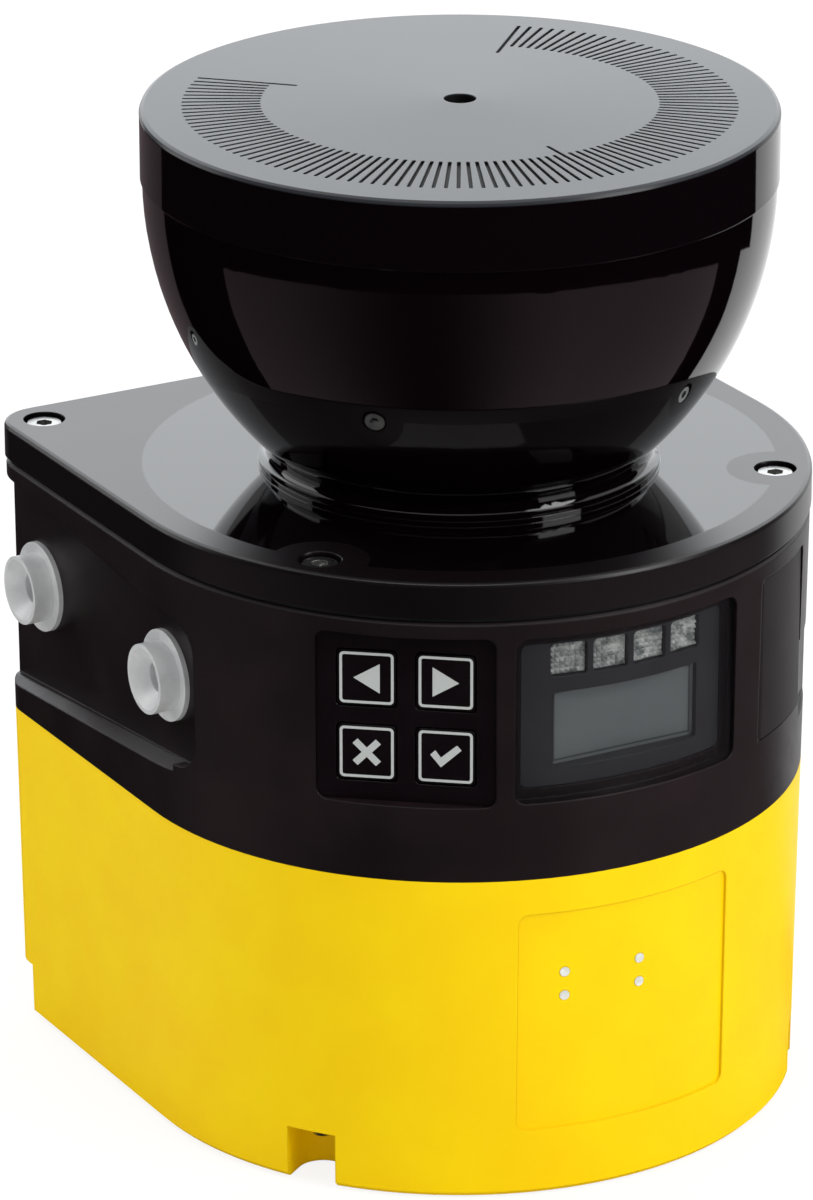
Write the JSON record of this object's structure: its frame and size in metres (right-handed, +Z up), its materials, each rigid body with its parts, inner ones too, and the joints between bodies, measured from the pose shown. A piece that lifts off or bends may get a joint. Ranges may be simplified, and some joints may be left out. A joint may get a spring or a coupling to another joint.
{
  "type": "safety laser scanner",
  "caption": "Safety laser scanner: round-fronted housing on a hood, with keypad, display, service flap, side sleeves, connector bay and a bowl-shaped head over a spinning mirror.",
  "frame": {"origin": "on the mirror's axis, at the height of the face that the scanner stands on", "axes": "+Z up along the mirror's axis, -Y towards the front (the display), +X towards the side with the service flap"},
  "size_m": [0.1134, 0.1111, 0.1631],
  "materials": {
    "housing_paint": "satin black powder coat on die-cast metal",
    "hood_paint": "satin yellow coat on die-cast metal",
    "cover_gloss": "polished black infrared-clear plastic",
    "cap_plastic": "satin black moulded plastic",
    "rubber_seal": "black gasket rubber",
    "steel": "plain steel screws and pins",
    "sleeve_aluminium": "turned satin aluminium",
    "connector_metal": "nickel-plated brass",
    "contact_gold": "gold-plated contacts",
    "window_smoke": "curved smoked clear pane",
    "dark_plastic": "black plastic",
    "lens_clear": "clear faceted light guides",
    "lcd_grey": "grey display glass, off",
    "key_plastic": "black key caps",
    "mat_silicone": "grey switch mat",
    "board": "green circuit board",
    "light_pipe": "milky white light pipes",
    "copper": "laminated core with copper coils",
    "bearing_steel": "ground ball bearings and shaft",
    "cast_aluminium": "bare cast aluminium",
    "magnet": "sintered magnet ring",
    "mirror_glass": "front-coated mirror",
    "lens_glass": "clear moulded lens",
    "code_metal": "etched code disc"
  },
  "bodies": {
    "scanner": {"main_housing": "housing_paint", "yellow_hood": "hood_paint", "hood_seal": "rubber_seal", "hood_screws": "steel", "optics_cover": "cover_gloss", "cover_seal": "rubber_seal", "cover_screws": "steel", "head_cap": "cap_plastic", "side_sleeves": "sleeve_aluminium", "display_window": "window_smoke", "display_frame": "dark_plastic", "status_lens_1": "lens_clear", "status_lens_2": "lens_clear", "status_lens_3": "lens_clear", "status_lens_4": "lens_clear", "lcd_module": "lcd_grey", "display_board": "board", "keypad_frame": "key_plastic", "keypad_mat": "mat_silicone", "keypad_board": "board", "flap_pin": "steel", "service_socket": "connector_metal", "service_board": "board", "network_light_pipes": "light_pipe", "network_board": "board", "power_board": "board", "main_board": "board", "board_spacers": "steel", "board_screws": "steel", "system_plug": "dark_plastic", "plug_seal": "rubber_seal", "plug_screws": "steel", "power_connector": "connector_metal", "power_pins": "contact_gold", "network_connector_1": "connector_metal", "network_connector_2": "connector_metal", "network_contacts": "dark_plastic", "motor_carrier": "cast_aluminium", "carrier_screws": "steel", "motor_stator": "copper", "bearing_lower": "bearing_steel", "bearing_upper": "bearing_steel", "code_reader": "dark_plastic", "head_pillar": "cast_aluminium", "optics_bridge": "cast_aluminium", "receiver_lens": "lens_glass", "laser_module": "connector_metal", "receiver_board": "board"},
    "mirror_rotor": {"rotor_cup": "cast_aluminium", "rotor_magnet": "magnet", "motor_shaft": "bearing_steel", "mirror_holder": "dark_plastic", "scan_mirror": "mirror_glass", "code_disc": "code_metal"},
    "flap": {"service_flap": "dark_plastic"},
    "key_left_cap": {"key_left": "key_plastic"},
    "key_right_cap": {"key_right": "key_plastic"},
    "key_cancel_cap": {"key_cancel": "key_plastic"},
    "key_confirm_cap": {"key_confirm": "key_plastic"}
  },
  "joints": [
    {"name": "mirror_spin", "type": "hinge", "parent": "scanner", "child": "mirror_rotor", "pos_m": [0, 0, 0.131], "axis": [0, 0, 1], "continuous": true},
    {"name": "flap_hinge", "type": "hinge", "parent": "scanner", "child": "flap", "pos_m": [0.02652, -0.0477, 0.0806], "axis": [0, 0, -1], "range_deg": [0, 85]},
    {"name": "key_left_press", "type": "slide", "parent": "scanner", "child": "key_left_cap", "axis": [0.6211, 0.7837, 0], "range_m": [0, 0.0004], "stiffness_N_per_m": 2500},
    {"name": "key_right_press", "type": "slide", "parent": "scanner", "child": "key_right_cap", "axis": [0.6211, 0.7837, 0], "range_m": [0, 0.0004], "stiffness_N_per_m": 2500},
    {"name": "key_cancel_press", "type": "slide", "parent": "scanner", "child": "key_cancel_cap", "axis": [0.6211, 0.7837, 0], "range_m": [0, 0.0004], "stiffness_N_per_m": 2500},
    {"name": "key_confirm_press", "type": "slide", "parent": "scanner", "child": "key_confirm_cap", "axis": [0.6211, 0.7837, 0], "range_m": [0, 0.0004], "stiffness_N_per_m": 2500}
  ]
}
